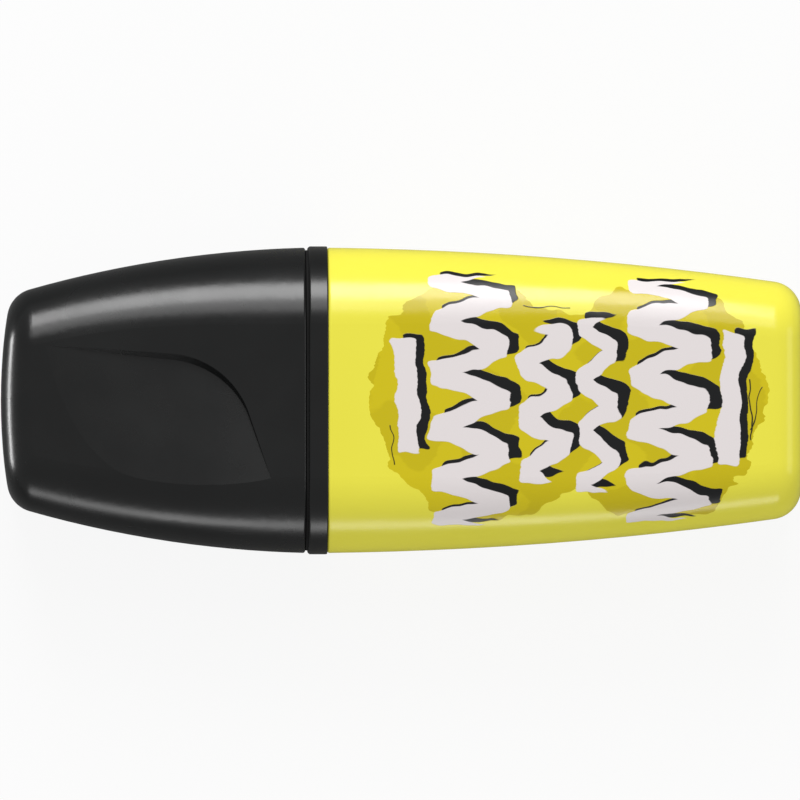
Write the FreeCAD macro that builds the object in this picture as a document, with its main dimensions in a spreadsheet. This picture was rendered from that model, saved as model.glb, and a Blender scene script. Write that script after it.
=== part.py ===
"""Pocket highlighter: a flat, tapered, capped marker, built from separate pieces in millimetres.

Every piece is drawn about one working origin: X runs along the pen with 0 on the cap's mouth, the cap
at -X and the barrel at +X, Y runs across the broad faces and Z through the thickness, with 0 at mid-depth.
Each piece's Placement then puts the closed pen on the ground, centred on the part's own origin.
"""
import FreeCAD, Part
import Sketcher
import math
import os

V = FreeCAD.Vector

# alias, size in mm (or degrees), what it is
SIZES = [
    ("cap_length", 27.6, "cap along X, mouth to the crown of its rounded end"),
    ("cap_side_curve", 100.0, "radius of the cap's curved sides, seen from above"),
    ("cap_end_curve", 53.0, "radius of the cap's end, seen from above"),
    ("cap_side_lean", 1.4, "degrees that the cap's sides already lean in at its mouth"),
    ("cap_wall", 1.6, "cap wall"),
    ("cap_floor", 2.0, "cap end wall"),
    ("cap_socket", 5.0, "straight part of the cap's bore, which grips the spigot"),
    ("parting_gap", 0.25, "groove between the closed cap and the collar"),
    ("land_side_inset", 0.22, "how deep the groove's floor lies at the pen's sides"),
    ("land_face_inset", 0.45, "how deep the groove's floor lies on the broad faces"),
    ("collar_length", 1.75, "collar along X"),
    ("collar_step", 0.12, "how far the collar stands out past the barrel's sides"),
    ("barrel_length", 43.0, "barrel along X"),
    ("barrel_side_curve", 318.0, "radius of the barrel's curved sides, seen from above"),
    ("barrel_side_lean", 0.69, "degrees that the barrel's sides already lean in at its mouth"),
    ("barrel_wall", 1.2, "barrel wall"),
    ("barrel_floor", 1.5, "barrel end wall"),
    ("body_width", 27.76, "cap and barrel at their mouths, across Y"),
    ("thickness", 17.5, "cap, collar and barrel through Z"),
    ("rim_round", 7.0, "rounding of the long edges where cap and barrel meet"),
    ("end_round", 5.0, "rounding of the long edges at both ends"),
    ("tip_round", 2.8, "rounding around both end faces"),
    ("rim_ease", 0.22, "eased edge of the two mouths and the collar"),
    ("draw", 0.35, "how much narrower the bores get towards their floors, a side"),
    ("fit_gap", 0.05, "gap between pieces that are pressed together"),
    ("slide_gap", 0.2, "gap between the spigot and the cap's bore"),
    ("plug_length", 6.0, "front section inside the barrel"),
    ("spigot_length", 4.5, "front section inside the cap"),
    ("bead_height", 0.12, "snap bead around the spigot"),
    ("bead_length", 0.7, "snap bead along X"),
    ("section_wall", 1.2, "front section wall"),
    ("nose_length", 8.0, "nose in front of the spigot"),
    ("nose_side_lip", 1.7, "wall beside the nib at the nose's tip, across Y"),
    ("nose_face_lip", 1.6, "wall above and below the nib at the nose's tip"),
    ("nose_tip_round", 2.2, "long edges at the nose's tip"),
    ("nib_width", 5.0, "nib across Y"),
    ("nib_height", 3.6, "nib through Z"),
    ("nib_reach", 5.6, "nib in front of the nose"),
    ("nib_tail", 7.0, "nib inside the reservoir"),
    ("nib_edge", 1.1, "flat left on the chisel's writing edge"),
    ("nib_slant", 2.2, "how far the chisel's slanted edge falls back"),
    ("nib_bevel", 2.6, "chisel's bevels along X"),
    ("nib_round", 0.3, "nib's long edges"),
    ("vent_width", 1.0, "air grooves beside the nib, across Y"),
    ("vent_depth", 0.45, "air grooves beside the nib, through Z"),
    ("core_side_gap", 0.7, "room between the film and the barrel's sides at its floor"),
    ("core_face_gap", 0.35, "room between the film and the front section, through Z"),
    ("core_side_flat", 0.3, "flat left at the reservoir's sides, each way from mid-depth"),
    ("core_stop", 1.0, "height of the stops behind the reservoir"),
    ("film_wall", 0.15, "film sleeve around the reservoir"),
    ("rib_width", 1.0, "ribs inside the barrel and the cap"),
    ("rib_spread", 5.0, "ribs either side of the middle, across Y"),
    ("rib_gap", 0.15, "gap between a rib and what it steadies"),
    ("liner_wall", 0.8, "sealing cup inside the cap"),
    ("liner_gap", 0.4, "room between the nose and the sealing cup"),
    ("liner_side_gap", 0.3, "room between the sealing cup and the cap's bore at its floor, across Y"),
    ("liner_face_gap", 0.8, "room between the sealing cup and the cap's bore at its floor, through Z"),
    ("liner_stop", 1.7, "height of the stops behind the sealing cup"),
    ("scoop_depth", 1.0, "depth that the scoop's floor would reach under its outermost corner"),
    ("scoop_lean", 0.68, "how far the scoop's wall leans out, across Y, over each mm that it rises"),
    ("scoop_run", 23.63, "thumb scoop, tip to tip"),
    ("scoop_turn", 30.7, "degrees that the line between the scoop's tips is turned about Z"),
    ("scoop_inset", 23.5, "scoop's far tip from the cap's mouth, along X"),
    ("scoop_side", 5.0, "scoop's far tip from the pen's middle, across Y"),
    ("scoop_corner_run", 14.9, "where the scoop's two edges would meet, from the far tip along that line"),
    ("scoop_corner_rise", 7.5, "where the scoop's two edges would meet, from that line"),
    ("scoop_bend", 8.0, "radius of the bend between the two edges"),
    ("scoop_fade", 6.5, "how far the scoop's floor runs past the line between its tips"),
]

doc = FreeCAD.newDocument("highlighter")
sheet = doc.addObject("Spreadsheet::Sheet", "sizes")
for row, (alias, size, note) in enumerate(SIZES, start=1):
    sheet.set(f"A{row}", note)
    sheet.set(f"B{row}", str(size))
    sheet.setAlias(f"B{row}", alias)
doc.recompute()

# where things lie along X, as expressions on the sheet
CAP_FLOOR = "-(sizes.cap_length - sizes.cap_floor)"
CAP_SOCKET = "-sizes.cap_socket"
SPIGOT_END = "-sizes.spigot_length"
NOSE_TIP = "-(sizes.spigot_length + sizes.nose_length)"
NIB_TIP = "-(sizes.spigot_length + sizes.nose_length + sizes.nib_reach)"
COLLAR_FRONT = "sizes.parting_gap"
BARREL_MOUTH = "(sizes.parting_gap + sizes.collar_length)"
PLUG_END = "(sizes.parting_gap + sizes.collar_length + sizes.plug_length)"
BARREL_TIP = "(sizes.parting_gap + sizes.collar_length + sizes.barrel_length)"
BARREL_FLOOR = "(sizes.parting_gap + sizes.collar_length + sizes.barrel_length - sizes.barrel_floor)"
SECTION_WALL = "-(sizes.spigot_length - sizes.section_wall)"
CORE_FRONT = "-(sizes.spigot_length - sizes.section_wall - sizes.rib_gap)"
CORE_BACK = f"({BARREL_FLOOR} - sizes.core_stop - sizes.rib_gap)"
NIB_BACK = f"({CORE_FRONT} + sizes.nib_tail)"
LINER_MOUTH = f"({SPIGOT_END} - sizes.rib_gap)"
LINER_FLOOR = f"({CAP_FLOOR} + sizes.liner_stop + sizes.fit_gap)"

# the closed pen's middle, moved to the part's origin
PEN_SHIFT = "(sizes.cap_length - sizes.parting_gap - sizes.collar_length - sizes.barrel_length) / 2"

# how far a cutting shape runs past what it cuts, and the step left behind a pressed-in plug
OVERCUT = "1"
SEAT_GAP = "0.5"


def half_width(piece, distance):
    """Half the width of the cap or the barrel, as an expression, at a distance from its mouth."""
    curve = f"sizes.{piece}_side_curve"
    lean = f"(sizes.{piece}_side_lean * 1 deg)"
    along = f"({distance} + {curve} * sin({lean}))"
    return f"(sizes.body_width / 2 - {curve} * cos({lean}) + sqrt({curve}^2 - {along}^2))"


# half sizes across the pen: the bores at their floors, the spigot, and what each of them holds
BARREL_FLOOR_DEPTH = "(sizes.barrel_length - sizes.barrel_floor)"
BARREL_FLOOR_HALF_WIDTH = f"({half_width('barrel', BARREL_FLOOR_DEPTH)} - sizes.barrel_wall - sizes.draw)"
BARREL_FLOOR_HALF_HEIGHT = "(sizes.thickness / 2 - sizes.barrel_wall - sizes.draw)"
CAP_FLOOR_DEPTH = "(sizes.cap_length - sizes.cap_floor)"
CAP_FLOOR_HALF_WIDTH = f"({half_width('cap', CAP_FLOOR_DEPTH)} - sizes.cap_wall - sizes.draw)"
CAP_FLOOR_HALF_HEIGHT = "(sizes.thickness / 2 - sizes.cap_wall - sizes.draw)"
SPIGOT_HALF_WIDTH = "(sizes.body_width / 2 - sizes.cap_wall - sizes.slide_gap)"
SPIGOT_HALF_HEIGHT = "(sizes.thickness / 2 - sizes.cap_wall - sizes.slide_gap)"
SPIGOT_ROUND = "(sizes.rim_round - sizes.cap_wall - sizes.slide_gap)"
FILM_HALF_WIDTH = f"({BARREL_FLOOR_HALF_WIDTH} - sizes.core_side_gap)"
FILM_HALF_HEIGHT = f"({SPIGOT_HALF_HEIGHT} - sizes.section_wall - sizes.core_face_gap)"
FILM_THICKNESS = "(sizes.fit_gap + sizes.film_wall)"
CORE_HALF_WIDTH = f"({FILM_HALF_WIDTH} - {FILM_THICKNESS})"
CORE_HALF_HEIGHT = f"({FILM_HALF_HEIGHT} - {FILM_THICKNESS})"
CORE_ROUND = f"({CORE_HALF_HEIGHT} - sizes.core_side_flat)"
LINER_HALF_WIDTH = f"({CAP_FLOOR_HALF_WIDTH} - sizes.liner_side_gap)"
LINER_HALF_HEIGHT = f"({CAP_FLOOR_HALF_HEIGHT} - sizes.liner_face_gap)"
LINER_ROUND = "(sizes.end_round - sizes.cap_wall)"
NOSE_INSET = "(sizes.liner_wall + sizes.liner_gap)"


def value(expression):
    """The number that an expression on the sheet comes to."""
    result = sheet.evalExpression(expression)
    return float(getattr(result, "Value", result))


def origin_plane(body, role):
    return next(feature for feature in body.Origin.OriginFeatures if feature.Role == role)


def new_sketch(body, name, role, station="0"):
    """An empty sketch on one of the body's own planes, moved along that plane's normal."""
    sketch = body.newObject("Sketcher::SketchObject", name)
    sketch.AttachmentSupport = [(origin_plane(body, role), "")]
    sketch.MapMode = "FlatFace"
    sketch.setExpression("AttachmentOffset.Base.z", station)
    return sketch


def add_arc(sketch, centre, radius, start, end):
    """An arc, counter-clockwise from one point to another; returns its number in the sketch."""
    begin = math.atan2(start.y - centre.y, start.x - centre.x)
    finish = math.atan2(end.y - centre.y, end.x - centre.x)
    if finish < begin:
        finish += 2 * math.pi
    return sketch.addGeometry(Part.ArcOfCircle(Part.Circle(centre, V(0, 0, 1), radius), begin, finish))


def add_line(sketch, start, end):
    return sketch.addGeometry(Part.LineSegment(start, end))


def drive(sketch, kind, *where, by):
    """A dimension on the sketch that follows an expression on the sheet."""
    number = sketch.addConstraint(Sketcher.Constraint(kind, *where, value(by)))
    sketch.setExpression(f"Constraints[{number}]", by)


def tie(sketch, kind, *where):
    sketch.addConstraint(Sketcher.Constraint(kind, *where))


def rounded_rectangle(sketch, width, height, corner):
    """A rounded rectangle about the sketch's origin."""
    across = value(width) / 2
    up = value(height) / 2
    radius = value(corner)
    for side in range(4):
        # the line along one side, then the corner at its end, going round counter-clockwise
        turn = FreeCAD.Rotation(V(0, 0, 1), 90 * side)
        reach, run = (up, across) if side % 2 == 0 else (across, up)
        start = turn.multVec(V(radius - run, -reach, 0))
        end = turn.multVec(V(run - radius, -reach, 0))
        add_line(sketch, start, end)
        centre = turn.multVec(V(run - radius, radius - reach, 0))
        corner_end = turn.multVec(V(run, radius - reach, 0))
        add_arc(sketch, centre, radius, end, corner_end)
    for side in range(4):
        line = 2 * side
        arc = line + 1
        tie(sketch, "Tangent", line, 2, arc, 1)
        tie(sketch, "Tangent", arc, 2, (line + 2) % 8, 1)
        tie(sketch, "Horizontal" if side % 2 == 0 else "Vertical", line)
        if side:
            tie(sketch, "Equal", 1, arc)
    tie(sketch, "Symmetric", 1, 3, 5, 3, -1, 1)
    drive(sketch, "DistanceX", 6, 1, 2, 1, by=width)
    drive(sketch, "DistanceY", 0, 1, 4, 1, by=height)
    drive(sketch, "Radius", 1, by=corner)


def section(body, name, station, width, height, corner):
    """A rounded rectangle across the pen, at a station along X."""
    sketch = new_sketch(body, name, "YZ_Plane", station)
    rounded_rectangle(sketch, width, height, corner)
    return sketch


def extrude(body, kind, name, profile, length, reverse=False):
    """A pad or a pocket of a sketch; reverse turns it against the sketch's normal."""
    feature = body.newObject(f"PartDesign::{kind}", name)
    feature.Profile = profile
    feature.setExpression("Length", length)
    feature.Reversed = reverse
    return feature


def loft(body, kind, name, profile, other):
    feature = body.newObject(f"PartDesign::{kind}Loft", name)
    feature.Profile = profile
    feature.Sections = [other]
    feature.Ruled = True
    return feature


def across(point):
    """The same point on the other side of the pen's middle."""
    return V(point.x, -point.y, 0)


def sides(sketch, mouth, width, curve, lean, toward, reach):
    """The mouth and the curved sides of a plan outline that narrows along +X or -X (toward, 1 or -1).

    reach is roughly how far the sides go from the mouth. The constraints settle it once the end is drawn.
    Returns the two places where the end joins the sides."""
    radius = value(curve)
    angle = math.radians(value(lean))
    rim = V(value(mouth), value(width) / 2, 0)
    centre = rim - V(toward * math.sin(angle), math.cos(angle), 0) * radius
    tip_x = rim.x + toward * reach
    tip = V(tip_x, centre.y + math.sqrt(radius**2 - (tip_x - centre.x) ** 2), 0)
    mouth_line = add_line(sketch, across(rim), rim)
    if toward > 0:
        upper = add_arc(sketch, centre, radius, tip, rim)
        lower = add_arc(sketch, across(centre), radius, across(rim), across(tip))
        first, last = 1, 2
    else:
        upper = add_arc(sketch, centre, radius, rim, tip)
        lower = add_arc(sketch, across(centre), radius, across(tip), across(rim))
        first, last = 2, 1
    tie(sketch, "Coincident", mouth_line, 2, upper, last)
    tie(sketch, "Coincident", mouth_line, 1, lower, first)
    tie(sketch, "Symmetric", mouth_line, 1, mouth_line, 2, -1)
    tie(sketch, "Symmetric", upper, 3, lower, 3, -1)
    drive(sketch, "DistanceX", -1, 1, mouth_line, 2, by=mouth)
    drive(sketch, "DistanceY", mouth_line, 1, mouth_line, 2, by=width)
    drive(sketch, "Radius", upper, by=curve)
    lean_shift = f"{toward} * {curve} * sin({lean} * 1 deg)"
    drive(sketch, "DistanceX", upper, 3, mouth_line, 2, by=lean_shift)
    return (upper, first), (lower, last)


def slab(body, sketch):
    """A plan outline made as thick as the pen, half of it each side of mid-depth."""
    feature = extrude(body, "Pad", body.Name + "_slab", sketch, "sizes.thickness")
    feature.SideType = "Symmetric"
    return body


def barrel_blank():
    """The barrel's plan: curved sides and a straight end."""
    body = doc.addObject("PartDesign::Body", "barrel_blank")
    sketch = new_sketch(body, "barrel_plan", "XY_Plane")
    upper, lower = sides(sketch, BARREL_MOUTH, "sizes.body_width", "sizes.barrel_side_curve",
                         "sizes.barrel_side_lean", 1, value("sizes.barrel_length"))
    top = sketch.getPoint(*upper)
    end = add_line(sketch, top, across(top))
    tie(sketch, "Coincident", end, 1, *upper)
    tie(sketch, "Coincident", end, 2, *lower)
    tie(sketch, "Vertical", end)
    drive(sketch, "DistanceX", -1, 1, end, 1, by=BARREL_TIP)
    return slab(body, sketch)


def cap_blank():
    """The cap's plan: curved sides and a gently curved end."""
    body = doc.addObject("PartDesign::Body", "cap_blank")
    sketch = new_sketch(body, "cap_plan", "XY_Plane")
    upper, lower = sides(sketch, "0", "sizes.body_width", "sizes.cap_side_curve",
                         "sizes.cap_side_lean", -1, value("sizes.cap_length"))
    top = sketch.getPoint(*upper)
    radius = value("sizes.cap_end_curve")
    centre = V(radius - value("sizes.cap_length"), 0, 0)
    end = add_arc(sketch, centre, radius, top, across(top))
    tie(sketch, "Coincident", end, 1, *upper)
    tie(sketch, "Coincident", end, 2, *lower)
    tie(sketch, "PointOnObject", end, 3, -1)
    drive(sketch, "Radius", end, by="sizes.cap_end_curve")
    drive(sketch, "DistanceX", -1, 1, end, 3, by="sizes.cap_end_curve - sizes.cap_length")
    return slab(body, sketch)


def round_outside(name, blank, mouth, tip_sign):
    """Round a blank's long edges, wide at its mouth and tighter at its tip, and ease both its ends."""
    doc.recompute()
    long_edges = []
    box = blank.Shape.BoundBox
    for number, edge in enumerate(blank.Shape.Edges, start=1):
        if edge.BoundBox.XLength < box.XLength / 2:
            continue
        radii = (value("sizes.rim_round"), value("sizes.end_round"))
        if abs(edge.Vertexes[0].X - mouth) > abs(edge.Vertexes[-1].X - mouth):
            radii = radii[::-1]
        long_edges.append((number, *radii))
    rounded = doc.addObject("Part::Fillet", name + "_rounded")
    rounded.Base = blank
    rounded.Edges = long_edges
    doc.recompute()

    ends = []
    faces = sorted(rounded.Shape.Faces, key=lambda face: tip_sign * face.CenterOfMass.x)
    for face, radius in ((faces[0], "sizes.rim_ease"), (faces[-1], "sizes.tip_round")):
        for number, edge in enumerate(rounded.Shape.Edges, start=1):
            if any(edge.isSame(rim) for rim in face.Edges):
                ends.append((number, value(radius), value(radius)))
    eased = doc.addObject("Part::Fillet", name + "_outside")
    eased.Base = rounded
    eased.Edges = ends
    return eased


def bore(piece, mouth, outward, socket, floor, floor_half_width, floor_half_height):
    """The space inside the cap or the barrel: a straight socket, then a tapering hollow down to its floor.

    outward is +1 where the piece opens towards +X."""
    body = doc.addObject("PartDesign::Body", f"{piece}_bore")
    wall = f"sizes.{piece}_wall"
    width = f"sizes.body_width - 2 * {wall}"
    height = f"sizes.thickness - 2 * {wall}"
    corner = f"sizes.rim_round - {wall}"
    past_mouth = f"{mouth} + {outward} * {OVERCUT}"
    opening = section(body, f"{piece}_mouth", past_mouth, width, height, corner)
    extrude(body, "Pad", f"{piece}_socket", opening, f"{socket} + {OVERCUT}", reverse=outward > 0)
    top = section(body, f"{piece}_hollow_top", f"{mouth} - {outward} * {socket}", width, height, corner)
    bottom = section(body, f"{piece}_hollow_floor", floor, f"2 * {floor_half_width}",
                     f"2 * {floor_half_height}", f"sizes.end_round - {wall}")
    loft(body, "Additive", f"{piece}_hollow", top, bottom)
    return body


def box(name, low, high):
    """A box between two corners, each given as three expressions."""
    block = doc.addObject("Part::Box", name)
    for start, end, axis, length in zip(low, high, "xyz", ("Length", "Width", "Height")):
        block.setExpression(f"Placement.Base.{axis}", start)
        block.setExpression(length, f"({end}) - ({start})")
    return block


def both_sides(name, low, high, axis):
    """A box on the +Y or +Z side and its twin across the pen's middle."""
    blocks = [box(name, low, high)]
    twin_low, twin_high = list(low), list(high)
    twin_low[axis] = f"-({high[axis]})"
    twin_high[axis] = f"-({low[axis]})"
    blocks.append(box(name + "_twin", twin_low, twin_high))
    return blocks


def ribs(piece, start, end, half_held_width, half_held_height, stop_start, stop_end):
    """Ribs that steady what lies inside the cap or barrel, and stops that it rests against.

    They run outwards past the bore that they are taken from, so they always reach its wall."""
    thin = "sizes.rib_width / 2"
    outer_width = "sizes.body_width / 2"
    outer_height = "sizes.thickness / 2"
    blocks = both_sides(f"{piece}_side_rib", [start, half_held_width, f"-{thin}"],
                        [end, outer_width, thin], 1)
    for place, spread in (("near", "sizes.rib_spread"), ("far", "-sizes.rib_spread")):
        low = [start, f"{spread} - {thin}", half_held_height]
        high = [end, f"{spread} + {thin}", outer_height]
        blocks += both_sides(f"{piece}_{place}_rib", low, high, 2)
    stop_reach = half_held_height
    blocks += both_sides(f"{piece}_stop", [stop_start, f"sizes.rib_spread - {thin}", f"-{stop_reach}"],
                         [stop_end, f"sizes.rib_spread + {thin}", stop_reach], 1)
    group = doc.addObject("Part::MultiFuse", f"{piece}_ribs")
    group.Shapes = blocks
    return group


def cut(name, base, tool):
    feature = doc.addObject("Part::Cut", name)
    feature.Base = base
    feature.Tool = tool
    return feature


def barrel():
    outside = round_outside("barrel", barrel_blank(), value(BARREL_MOUTH), 1)
    hollow = bore("barrel", BARREL_MOUTH, -1, f"(sizes.plug_length + {SEAT_GAP})", BARREL_FLOOR,
                  BARREL_FLOOR_HALF_WIDTH, BARREL_FLOOR_HALF_HEIGHT)
    inner_ribs = ribs("barrel", f"{PLUG_END} + 2 * {SEAT_GAP}", f"{BARREL_FLOOR} + {OVERCUT}",
                      f"{FILM_HALF_WIDTH} + sizes.rib_gap", f"{FILM_HALF_HEIGHT} + sizes.rib_gap",
                      f"{CORE_BACK} + sizes.rib_gap", f"{BARREL_FLOOR} + {OVERCUT}")
    return cut("barrel", outside, cut("barrel_inside", hollow, inner_ribs))


def cap_shell():
    outside = round_outside("cap", cap_blank(), 0, -1)
    hollow = bore("cap", "0", 1, "sizes.cap_socket", CAP_FLOOR, CAP_FLOOR_HALF_WIDTH,
                  CAP_FLOOR_HALF_HEIGHT)
    inner_ribs = ribs("cap", f"{CAP_FLOOR} - {OVERCUT}", f"{CAP_SOCKET} - {SEAT_GAP}",
                      f"{LINER_HALF_WIDTH} + sizes.fit_gap", f"{LINER_HALF_HEIGHT} + sizes.fit_gap",
                      f"{CAP_FLOOR} - {OVERCUT}", f"{LINER_FLOOR} - sizes.fit_gap")
    inside = cut("cap_inside", hollow, inner_ribs)
    tools = doc.addObject("Part::MultiFuse", "cap_cuts")
    tools.Shapes = [inside, thumb_scoop("front_scoop", 1), thumb_scoop("back_scoop", -1)]
    return cut("cap_shell", outside, tools)


def thumb_scoop(name, side):
    """What the thumb scoop takes out of a broad face, side +1 for the face at +Z and -1 for the other.

    It is drawn with its far tip at the origin, the line between its tips along X and the face at Z 0. Its
    edge is two straight runs and a bend, whose wall leans outwards. Its floor is a wide, shallow
    groove that sinks towards the bend, so that it fades out at both tips and past the line between them."""
    leaf = doc.addObject("PartDesign::Body", name + "_leaf")
    sketch = new_sketch(leaf, name + "_edge", "XY_Plane")
    run = value("sizes.scoop_run")
    bend = value("sizes.scoop_bend")
    past = value(f"sizes.scoop_fade + 1.5 * {OVERCUT}")
    far_tip, near_tip = V(0, 0, 0), V(run, 0, 0)
    corner = V(value("sizes.scoop_corner_run"), value("sizes.scoop_corner_rise"), 0)
    long_way = (corner - far_tip).normalize()
    short_way = (near_tip - corner).normalize()
    trim = bend * math.tan(long_way.getAngle(short_way) / 2)
    bend_start = corner - long_way * trim
    bend_end = corner + short_way * trim
    centre = bend_start + V(long_way.y, -long_way.x, 0) * bend
    long_edge = add_line(sketch, far_tip, bend_start)
    bend_arc = add_arc(sketch, centre, bend, bend_end, bend_start)
    short_edge = add_line(sketch, bend_end, near_tip)
    near_side = add_line(sketch, near_tip, near_tip - V(0, past, 0))
    back = add_line(sketch, near_tip - V(0, past, 0), far_tip - V(0, past, 0))
    far_side = add_line(sketch, far_tip - V(0, past, 0), far_tip)
    tie(sketch, "Coincident", long_edge, 1, -1, 1)
    tie(sketch, "Tangent", long_edge, 2, bend_arc, 2)
    tie(sketch, "Tangent", bend_arc, 1, short_edge, 1)
    for first, second in ((short_edge, near_side), (near_side, back), (back, far_side)):
        tie(sketch, "Coincident", first, 2, second, 1)
    tie(sketch, "Coincident", far_side, 2, long_edge, 1)
    tie(sketch, "Vertical", near_side)
    tie(sketch, "Horizontal", back)
    tie(sketch, "Vertical", far_side)
    tie(sketch, "PointOnObject", near_side, 1, -1)
    drive(sketch, "DistanceX", -1, 1, near_side, 1, by="sizes.scoop_run")
    drive(sketch, "DistanceY", near_side, 2, near_side, 1, by=f"sizes.scoop_fade + 1.5 * {OVERCUT}")
    meeting = sketch.addGeometry(Part.Point(corner), True)
    tie(sketch, "PointOnObject", meeting, 1, long_edge)
    tie(sketch, "PointOnObject", meeting, 1, short_edge)
    drive(sketch, "DistanceX", -1, 1, meeting, 1, by="sizes.scoop_corner_run")
    drive(sketch, "DistanceY", -1, 1, meeting, 1, by="sizes.scoop_corner_rise")
    drive(sketch, "Radius", bend_arc, by="sizes.scoop_bend")
    prism = extrude(leaf, "Pad", name + "_prism", sketch, f"2 * {OVERCUT}")
    prism.SideType = "Two sides"
    prism.setExpression("Length2", f"2 * (sizes.scoop_depth + {OVERCUT})")
    prism.UseCustomVector = True
    turn = math.radians(value("sizes.scoop_turn"))
    lean = value("sizes.scoop_lean")
    prism.Direction = V(-math.sin(turn) * lean, math.cos(turn) * lean, 1)

    groove = doc.addObject("Part::Cylinder", name + "_floor")
    sink = "(sizes.scoop_depth / (sizes.scoop_corner_rise + sizes.scoop_fade))"
    groove.setExpression("Radius", f"sizes.scoop_run^2 / (8 * {sink} * sizes.scoop_fade)")
    groove.setExpression("Height", f"sizes.scoop_corner_rise + sizes.scoop_fade + 10 * {OVERCUT}")
    tilt = math.atan(value(sink))
    start = V(run / 2, -value("sizes.scoop_fade"), 0)
    along = V(0, math.cos(tilt), -math.sin(tilt))
    up = V(0, math.sin(tilt), math.cos(tilt))
    radius = value(f"sizes.scoop_run^2 / (8 * {sink} * sizes.scoop_fade)")
    groove.Placement = FreeCAD.Placement(start - along * 5 * value(OVERCUT) + up * radius,
                                         FreeCAD.Rotation(V(0, 0, 1), along))

    scoop = doc.addObject("Part::MultiCommon", name)
    scoop.Shapes = [leaf, groove]
    where = V(-value("sizes.scoop_inset"), value("sizes.scoop_side"), value("sizes.thickness") / 2)
    place = FreeCAD.Placement(where, FreeCAD.Rotation(V(0, 0, 1), -value("sizes.scoop_turn")))
    flip = FreeCAD.Placement(V(0, 0, 0), FreeCAD.Rotation(V(1, 0, 0), 0 if side > 0 else 180))
    scoop.Placement = flip * place
    return scoop


def edges_across(feature, station):
    """The names of the edges around a feature's widest face across the pen at a station."""
    shape = feature.Shape
    faces = [face for face in shape.Faces
             if face.BoundBox.XLength < 1e-6 and abs(face.CenterOfMass.x - value(station)) < 1e-4]
    face = max(faces, key=lambda item: item.BoundBox.YLength)
    return [f"Edge{number}" for number, edge in enumerate(shape.Edges, start=1)
            if any(edge.isSame(rim) for rim in face.OuterWire.Edges)]


def ease(body, name, kind, station, size):
    """A small fillet or chamfer around the body where it meets a station."""
    doc.recompute()
    base = body.Tip
    feature = body.newObject(f"PartDesign::{kind}", name)
    feature.Base = (base, edges_across(base, station))
    feature.setExpression("Radius" if kind == "Fillet" else "Size", size)
    return feature


def front_section():
    """Black front: a plug for the barrel, the collar, the spigot that the cap grips and the nose."""
    body = doc.addObject("PartDesign::Body", "front_section")
    plug_inset = "(2 * sizes.barrel_wall + 2 * sizes.fit_gap)"
    plug = section(body, "plug_section", BARREL_MOUTH, f"sizes.body_width - {plug_inset}",
                   f"sizes.thickness - {plug_inset}", "sizes.rim_round - sizes.barrel_wall - sizes.fit_gap")
    extrude(body, "Pad", "plug", plug, "sizes.plug_length")
    collar = section(body, "collar_section", COLLAR_FRONT, "sizes.body_width + 2 * sizes.collar_step",
                     "sizes.thickness", "sizes.rim_round")
    extrude(body, "Pad", "collar", collar, "sizes.collar_length")
    ease(body, "collar_front_ease", "Fillet", COLLAR_FRONT, "sizes.rim_ease")
    ease(body, "collar_back_ease", "Fillet", BARREL_MOUTH, "sizes.rim_ease / 2")
    land = section(body, "land_section", COLLAR_FRONT, "sizes.body_width - 2 * sizes.land_side_inset",
                   "sizes.thickness - 2 * sizes.land_face_inset", "sizes.rim_round - sizes.land_side_inset")
    extrude(body, "Pad", "land", land, f"{COLLAR_FRONT} - sizes.fit_gap", reverse=True)

    spigot = section(body, "spigot_section", COLLAR_FRONT, f"2 * {SPIGOT_HALF_WIDTH}",
                     f"2 * {SPIGOT_HALF_HEIGHT}", SPIGOT_ROUND)
    extrude(body, "Pad", "spigot", spigot, f"sizes.spigot_length + {COLLAR_FRONT}", reverse=True)
    ease(body, "spigot_lead", "Chamfer", SPIGOT_END, "2 * sizes.slide_gap")
    bead = section(body, "bead_section", "-(sizes.spigot_length + sizes.bead_length) / 2",
                   f"2 * ({SPIGOT_HALF_WIDTH} + sizes.bead_height)",
                   f"2 * ({SPIGOT_HALF_HEIGHT} + sizes.bead_height)", f"{SPIGOT_ROUND} + sizes.bead_height")
    extrude(body, "Pad", "bead", bead, "sizes.bead_length")

    nose_base = section(body, "nose_base", SPIGOT_END, f"2 * ({LINER_HALF_WIDTH} - {NOSE_INSET})",
                        f"2 * ({LINER_HALF_HEIGHT} - {NOSE_INSET})", f"{LINER_ROUND} - {NOSE_INSET}")
    nose_tip = section(body, "nose_tip", NOSE_TIP, "sizes.nib_width + 2 * sizes.nose_side_lip",
                       "sizes.nib_height + 2 * sizes.nose_face_lip", "sizes.nose_tip_round")
    loft(body, "Additive", "nose", nose_base, nose_tip)
    ease(body, "nose_ease", "Fillet", NOSE_TIP, "3 * sizes.rim_ease")

    cavity = section(body, "cavity_section", PLUG_END, f"2 * ({SPIGOT_HALF_WIDTH} - sizes.section_wall)",
                     f"2 * ({SPIGOT_HALF_HEIGHT} - sizes.section_wall)",
                     f"{SPIGOT_ROUND} - sizes.section_wall")
    extrude(body, "Pocket", "cavity", cavity, f"{PLUG_END} - {SECTION_WALL}")
    slot = section(body, "slot_section", SECTION_WALL, "sizes.nib_width + 2 * sizes.fit_gap",
                   "sizes.nib_height + 2 * sizes.fit_gap", "sizes.nib_round")
    extrude(body, "Pocket", "nib_slot", slot, f"{SECTION_WALL} - {NOSE_TIP} + {OVERCUT}")
    vents = section(body, "vent_section", SECTION_WALL, "sizes.vent_width",
                    "sizes.nib_height + 2 * sizes.vent_depth", "sizes.vent_depth / 3")
    extrude(body, "Pocket", "air_grooves", vents, f"{SECTION_WALL} - {NOSE_TIP} + {OVERCUT}")
    return body


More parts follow.
